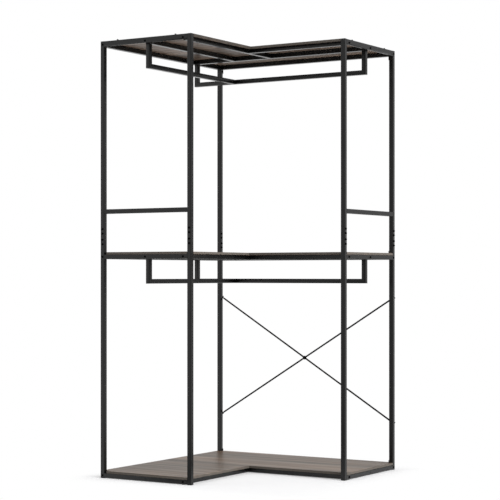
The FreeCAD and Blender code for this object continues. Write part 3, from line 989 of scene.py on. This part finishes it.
def rod_coat_runs():
    """End points of the coat on each rod's two halves, clear of its eyes and of the crossing."""
    low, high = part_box("brace_rod_falling")
    depth = high.y - ROD_RADIUS
    middle = Vector(((low.x + high.x) / 2, depth, (low.z + high.z) / 2))
    runs = []
    for site, _ in brace_sites(0.0):
        eye = Vector((site.x, depth, site.z))
        inward = (middle - eye).normalized()
        runs.append((eye + inward * EYE_CLEAR, middle - inward * CROSS_CLEAR))
    return runs


def stud_runs(reach):
    """Ends of the studs, from the back of the posts."""
    return [(spot, spot + BACKWARD * reach) for spot, _ in brace_sites(0.0)]


def pad_runs():
    """Pads under the bottom end rails, below their bolts next to the inner posts."""
    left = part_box("left_end_rail_bottom")
    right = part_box("right_end_rail_bottom")
    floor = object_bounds()[0].z
    across = centre("bottom_left_inner_rail").x
    along = centre("bottom_right_inner_rail").y
    spots = ((across, (left[0].y + left[1].y) / 2), ((right[0].x + right[1].x) / 2, along))
    return [(Vector((*spot, floor)), Vector((*spot, left[0].z))) for spot in spots]


def tube_section(half):
    """Outline of a rounded square tube about the origin."""
    points = []
    inset = half - CORNER_RADIUS
    for turn, (across, up) in enumerate(((1, 1), (-1, 1), (-1, -1), (1, -1))):
        for step in range(CORNER_STEPS + 1):
            angle = (turn + step / CORNER_STEPS) * math.pi / 2
            points.append((
                across * inset + CORNER_RADIUS * math.cos(angle),
                up * inset + CORNER_RADIUS * math.sin(angle),
            ))
    return points


def bent_tube(name, path, side, half):
    """Square tube along a path of straight runs, mitred at its bends. side is the normal of its plane."""
    shell = bmesh.new()
    section = tube_section(half)
    runs = [(after - before).normalized() for before, after in zip(path, path[1:])]
    rings = []
    for index, point in enumerate(path):
        before = side.cross(runs[max(index - 1, 0)])
        after = side.cross(runs[min(index, len(runs) - 1)])
        mitre = (before + after) / (1 + before.dot(after))
        rings.append([shell.verts.new(point + side * across + mitre * up) for across, up in section])
    loft(shell, rings)
    return skinned(name, shell, "black_bar")


# Steps

# Shank below a head: at the post joints, through the end frames, and of the other fasteners
JOINT_SHANK = 1.4 * MILLIMETRE
THROUGH_SHANK = 32 * MILLIMETRE
SHORT_SHANK = 1.0 * MILLIMETRE
# Depth of a recess, as a share of the head's height
SOCKET_DEPTH = 0.6
CROSS_DEPTH = 0.55
# Heads of the top rail screws and of the rivet, and the rivet's recess, as shares of a screw's height
TOP_SCREW_HEIGHT = 1.4
RIVET_HEIGHT = 0.7
RIVET_RECESS = 0.1


class RACK_OT_paint_frame(bpy.types.Operator):
    """Give the posts, rails and brace their black coats, and feet, plugs and sleeves their finishes"""

    bl_idname = "rack.paint_frame"
    bl_label = "Paint Frame"

    def execute(self, context):
        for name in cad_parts:
            if "_post_" in name or "_rail" in name:
                dress(name, "black_frame")
        for name in ("brace_rod_falling", "brace_rod_rising"):
            dress(name, "black_rod")
        dress("post_joint_sleeves", "bare_steel")
        for name in ("foot_caps", "post_top_plugs"):
            dress(name, "black_plastic")
        return {"FINISHED"}


class RACK_OT_lay_boards(bpy.types.Operator):
    """Give the boards and top panels their wood decor"""

    bl_idname = "rack.lay_boards"
    bl_label = "Lay Boards"

    def execute(self, context):
        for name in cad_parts:
            if name.endswith("_board"):
                dress(name, "wood_board")
            if name.endswith("_panel"):
                dress(name, "wood_panel")
        return {"FINISHED"}


class RACK_OT_hang_bars(bpy.types.Operator):
    """Make the hanging bars as mitred tubes with rounded corners"""

    bl_idname = "rack.hang_bars"
    bl_label = "Hang Bars"

    def execute(self, context):
        for level in ("upper", "lower"):
            node = f"{level}_right_hanging_bar"
            low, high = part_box(node)
            half = (high.y - low.y) / 2
            middle = (low.y + high.y) / 2
            left = low.x + half
            right = high.x - half
            bottom = low.z + half
            path = [
                Vector((left, middle, high.z)),
                Vector((left, middle, bottom)),
                Vector((right, middle, bottom)),
                Vector((right, middle, high.z)),
            ]
            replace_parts(bent_tube(f"{level}_right_bar", path, BACKWARD, half), node)
            node = f"{level}_left_hanging_bar"
            low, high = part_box(node)
            middle = (low.x + high.x) / 2
            front = low.y + half
            path = [
                Vector((middle, front, high.z)),
                Vector((middle, front, low.z + half)),
                Vector((middle, high.y, low.z + half)),
            ]
            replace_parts(bent_tube(f"{level}_left_bar", path, RIGHTWARD, half), node)
        return {"FINISHED"}


class RACK_OT_fit_bolts(bpy.types.Operator):
    """Fit button-head bolts with six-sided sockets to the post joints, end frames and rail joints"""

    bl_idname = "rack.fit_bolts"
    bl_label = "Fit Bolts"

    def execute(self, context):
        sizes = context.scene.rack_fasteners
        tree = fastener_tree("button_bolts", HEAD_SEGMENTS, hexagon_reach)
        shape = {
            "Head Radius": sizes.bolt_radius,
            "Head Height": sizes.bolt_height,
            "Shank Radius": sizes.bolt_shank,
            "Recess Radius": sizes.socket_radius,
            "Recess Depth": sizes.bolt_height * SOCKET_DEPTH,
        }
        tall = {**shape, "Head Height": sizes.joint_bolt_height, "Shank Length": JOINT_SHANK}
        through = {**shape, "Shank Length": THROUGH_SHANK}
        flush = {
            **through,
            "Head Height": sizes.flush_bolt_height,
            "Recess Depth": sizes.flush_bolt_height * SOCKET_DEPTH,
        }
        short = {**shape, "Shank Length": SHORT_SHANK}
        joints = fasteners("post_joint_button_bolts", post_joint_sites(), tree, tall)
        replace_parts(joints, "post_joint_bolts")
        ends = fasteners("end_frame_button_bolts", end_frame_sites(False), tree, through)
        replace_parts(ends, "end_frame_bolts")
        painted = fasteners("painted_button_bolts", end_frame_sites(True), tree, flush, "black_frame")
        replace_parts(painted, "end_frame_bolts")
        fasteners("rail_joint_button_bolts", rail_joint_sites(), tree, short)
        return {"FINISHED"}


class RACK_OT_fit_screws(bpy.types.Operator):
    """Fit the small cross-head screws to the tabs, top end rails and brace eyes, and the brace's rivet"""

    bl_idname = "rack.fit_screws"
    bl_label = "Fit Screws"

    def execute(self, context):
        sizes = context.scene.rack_fasteners
        tree = fastener_tree("pan_head_screws", CROSS_SEGMENTS, cross_reach)
        shape = {
            "Head Radius": sizes.screw_radius,
            "Head Height": sizes.screw_height,
            "Shank Radius": sizes.screw_shank,
            "Shank Length": SHORT_SHANK,
            "Recess Radius": sizes.cross_radius,
            "Recess Depth": sizes.screw_height * CROSS_DEPTH,
        }
        tall = {**shape, "Head Height": sizes.screw_height * TOP_SCREW_HEIGHT}
        rivet = {
            **shape,
            "Head Radius": sizes.rivet_radius,
            "Head Height": sizes.screw_height * RIVET_HEIGHT,
            "Recess Depth": sizes.screw_height * RIVET_RECESS,
        }
        fasteners("tab_screws", tab_sites(), tree, shape)
        fasteners("top_rail_screws", top_rail_sites(), tree, tall)
        fasteners("brace_nuts", brace_sites(EYE_THICKNESS), tree, shape)
        fasteners("brace_rivet", rivet_sites(), tree, rivet)
        return {"FINISHED"}


class RACK_OT_coat_brace(bpy.types.Operator):
    """Coat the brace rods and set the bolt ends that hold their eyes"""

    bl_idname = "rack.coat_brace"
    bl_label = "Coat Brace"

    def execute(self, context):
        sizes = context.scene.rack_fasteners
        round_bars("brace_rod_coats", rod_coat_runs(), sizes.coat_radius, COAT_EASING, "black_rod")
        round_bars("brace_studs", stud_runs(sizes.stud_reach), sizes.stud_radius, STUD_EASING, "black_bolt")
        return {"FINISHED"}


class RACK_OT_fold_lips(bpy.types.Operator):
    """Fold the lips below the top end rails"""

    bl_idname = "rack.fold_lips"
    bl_label = "Fold Lips"

    def execute(self, context):
        eased_boxes("top_rail_lips", rail_lip_boxes(), LIP_EASING, "black_frame")
        return {"FINISHED"}


class RACK_OT_fit_pads(bpy.types.Operator):
    """Fit the round pads under the bottom end rails"""

    bl_idname = "rack.fit_pads"
    bl_label = "Fit Pads"

    def execute(self, context):
        sizes = context.scene.rack_fasteners
        round_bars("rail_pads", pad_runs(), sizes.pad_radius, PAD_EASING, "black_plastic")
        return {"FINISHED"}


# Stage

SENSOR_WIDTH = 36
FLOOR_REACH = 60.0
FLOOR_ROUGHNESS = 0.7
FLOOR_GLOSS = 0.1
# Distance from the rack's footprint over which the floor fades to white
FADE_REACH = 0.16
# White that the floor shows on top of its own shading next to the rack
FLOOR_LIFT = 0.27
# Round lamps: where they hang, the point that they face, and how wide they are
KEY_LAMP = {"spot": (12.4, -2.0, 5.2), "target": (0.0, 0.0, 1.0), "width": 9.6}
FILL_LAMP = {"spot": (-3.6, -4.2, 3.4), "target": (0.0, 0.0, 0.9), "width": 3.2}
# Dim sides of the studio, behind the camera and at the back right: the way there, the cosine from it
# at which a reflection starts to fade and where it is dimmest, and the share of white that it loses
DIM_SIDES = (
    {"way": (0.53, -0.85, 0.0), "span": (0.36, 0.66), "loss": 0.75},
    {"way": (0.53, 0.85, 0.0), "span": (0.2, 0.9), "loss": 0.33},
)


def studio_level(tree, way):
    """Strength of the white surround that a ray sees: 1, or less in reflections of the dim sides."""
    losses = []
    for side in DIM_SIDES:
        nearness = vector_node(tree, "DOT_PRODUCT", way, side["way"])["Value"]
        losses.append(remap(tree, nearness, side["span"], (0.0, side["loss"])))
    glossy = add(tree, "ShaderNodeLightPath").outputs["Is Glossy Ray"]
    loss = math_node(tree, "MULTIPLY", glossy, math_node(tree, "ADD", *losses))
    return math_node(tree, "SUBTRACT", 1.0, loss)


def seen_ray(tree):
    """1 for rays that show the background: from the camera, or in a reflection or through glass."""
    path = add(tree, "ShaderNodeLightPath").outputs
    shown = math_node(tree, "MAXIMUM", path["Is Camera Ray"], path["Is Glossy Ray"])
    return math_node(tree, "MAXIMUM", shown, path["Is Transmission Ray"])


def footprint_distance(tree, place):
    """Distance of a point from the box that the rack fills."""
    low, high = CAD_BOX
    offset = vector_node(tree, "SUBTRACT", place, (low + high) / 2)["Vector"]
    apart = vector_node(tree, "ABSOLUTE", offset)["Vector"]
    outside = vector_node(tree, "SUBTRACT", apart, (high - low) / 2)["Vector"]
    clear = vector_node(tree, "MAXIMUM", outside, Vector())["Vector"]
    return vector_node(tree, "LENGTH", clear)["Value"]


def pale_floor(studio):
    """Pale floor that keeps the shadow near the rack and is white further away."""
    material, tree, surface, place = blank_material("pale_floor")
    set_surface(
        tree, surface,
        Base_Color=opaque(studio.floor_pale),
        Roughness=FLOOR_ROUGHNESS,
        Specular_IOR_Level=FLOOR_GLOSS,
    )
    fade = remap(tree, footprint_distance(tree, place), (0.0, FADE_REACH), interpolation="SMOOTHSTEP")
    seen = seen_ray(tree)
    level = studio_level(tree, vector_node(tree, "NORMALIZE", place)["Vector"])
    lift = math_node(tree, "MULTIPLY", math_node(tree, "MULTIPLY", seen, level), FLOOR_LIFT)
    glow = add(tree, "ShaderNodeEmission", {"Color": WHITE, "Strength": lift}).outputs["Emission"]
    near = add(tree, "ShaderNodeAddShader", {0: surface.outputs["BSDF"], 1: glow}).outputs["Shader"]
    white = add(tree, "ShaderNodeEmission", {"Color": WHITE, "Strength": level}).outputs["Emission"]
    share = math_node(tree, "MULTIPLY", fade, seen)
    mixed = add(tree, "ShaderNodeMixShader", {0: share, 1: near, 2: white}).outputs["Shader"]
    feed(tree, tree.nodes["Material Output"].inputs["Surface"], mixed)
    return material


def white_sky(studio):
    """World of soft even light that shows as a white studio."""
    world = bpy.data.worlds.new("white_studio")
    world.use_nodes = True
    tree = world.node_tree
    soft = tree.nodes["Background"]
    soft.inputs["Color"].default_value = WHITE
    soft.inputs["Strength"].default_value = studio.sky_strength
    way = add(tree, "ShaderNodeTexCoord").outputs["Generated"]
    seen = add(tree, "ShaderNodeBackground", {"Color": WHITE, "Strength": studio_level(tree, way)})
    inputs = {0: seen_ray(tree), 1: soft.outputs["Background"], 2: seen.outputs["Background"]}
    mixed = add(tree, "ShaderNodeMixShader", inputs).outputs["Shader"]
    feed(tree, tree.nodes["World Output"].inputs["Surface"], mixed)
    return world


def soft_lamp(name, spot, target, width, power):
    """Round lamp that shows in no reflection."""
    lamp = bpy.data.lights.new(name, "AREA")
    lamp.shape = "DISK"
    lamp.size = width
    lamp.energy = power
    holder = bpy.data.objects.new(name, lamp)
    holder.location = spot
    holder.visible_glossy = False
    holder.rotation_mode = "QUATERNION"
    holder.rotation_quaternion = (Vector(target) - Vector(spot)).to_track_quat("-Z", "Y")
    bpy.context.scene.collection.objects.link(holder)


def wide_floor(studio):
    """Square of floor under the rack."""
    half = FLOOR_REACH / 2
    corners = [(-half, -half, 0), (half, -half, 0), (half, half, 0), (-half, half, 0)]
    mesh = bpy.data.meshes.new("floor")
    mesh.from_pydata(corners, [], [range(len(corners))])
    mesh.materials.append(pale_floor(studio))
    floor = bpy.data.objects.new("floor", mesh)
    bpy.context.scene.collection.objects.link(floor)
    return floor


def level_camera(studio):
    """Level camera with its lens shifted upwards."""
    lens = bpy.data.cameras.new("camera")
    lens.sensor_width = SENSOR_WIDTH
    lens.lens = studio.camera_lens
    lens.shift_y = studio.camera_rise
    camera = bpy.data.objects.new("camera", lens)
    camera.location = studio.camera_place
    camera.rotation_euler = (math.pi / 2, 0, studio.camera_heading)
    bpy.context.scene.collection.objects.link(camera)
    return camera


class RACK_OT_set_stage(bpy.types.Operator):
    """Make the floor, the light and the camera"""

    bl_idname = "rack.set_stage"
    bl_label = "Set Stage"

    def execute(self, context):
        scene = context.scene
        studio = scene.rack_studio
        scene.view_settings.view_transform = "Standard"
        scene.world = white_sky(studio)
        floor = wide_floor(studio)
        floor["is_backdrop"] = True
        soft_lamp("key_lamp", power=studio.key_power, **KEY_LAMP)
        soft_lamp("fill_lamp", power=studio.fill_power, **FILL_LAMP)
        scene.camera = level_camera(studio)
        return {"FINISHED"}


class RACK_PT_panel(bpy.types.Panel):
    """Sizes, colours and steps of the corner garment rack"""

    bl_idname = "RACK_PT_panel"
    bl_label = "Corner Garment Rack"
    bl_space_type = "VIEW_3D"
    bl_region_type = "UI"
    bl_category = "Rack"

    def draw(self, context):
        layout = self.layout
        for operator in OPERATORS:
            layout.operator(operator.bl_idname)
        for title, group in (
            ("Finishes", context.scene.rack_finishes),
            ("Fasteners", context.scene.rack_fasteners),
            ("Studio", context.scene.rack_studio),
        ):
            box = layout.box()
            box.label(text=title)
            for name in group.__annotations__:
                box.prop(group, name)


OPERATORS = (
    RACK_OT_paint_frame,
    RACK_OT_lay_boards,
    RACK_OT_hang_bars,
    RACK_OT_fit_bolts,
    RACK_OT_fit_screws,
    RACK_OT_coat_brace,
    RACK_OT_fold_lips,
    RACK_OT_fit_pads,
    RACK_OT_set_stage,
)
CLASSES = (RackFinishes, RackFasteners, RackStudio, *OPERATORS, RACK_PT_panel)


def register():
    for entry in CLASSES:
        bpy.utils.register_class(entry)
    bpy.types.Scene.rack_finishes = PointerProperty(type=RackFinishes)
    bpy.types.Scene.rack_fasteners = PointerProperty(type=RackFasteners)
    bpy.types.Scene.rack_studio = PointerProperty(type=RackStudio)


def unregister():
    del bpy.types.Scene.rack_studio
    del bpy.types.Scene.rack_fasteners
    del bpy.types.Scene.rack_finishes
    for entry in reversed(CLASSES):
        bpy.utils.unregister_class(entry)


def main():
    register()
    bpy.ops.rack.paint_frame()
    bpy.ops.rack.lay_boards()
    bpy.ops.rack.hang_bars()
    bpy.ops.rack.fit_bolts()
    bpy.ops.rack.fit_screws()
    bpy.ops.rack.coat_brace()
    bpy.ops.rack.fold_lips()
    bpy.ops.rack.fit_pads()
    bpy.ops.rack.set_stage()


if __name__ == "__main__":
    main()
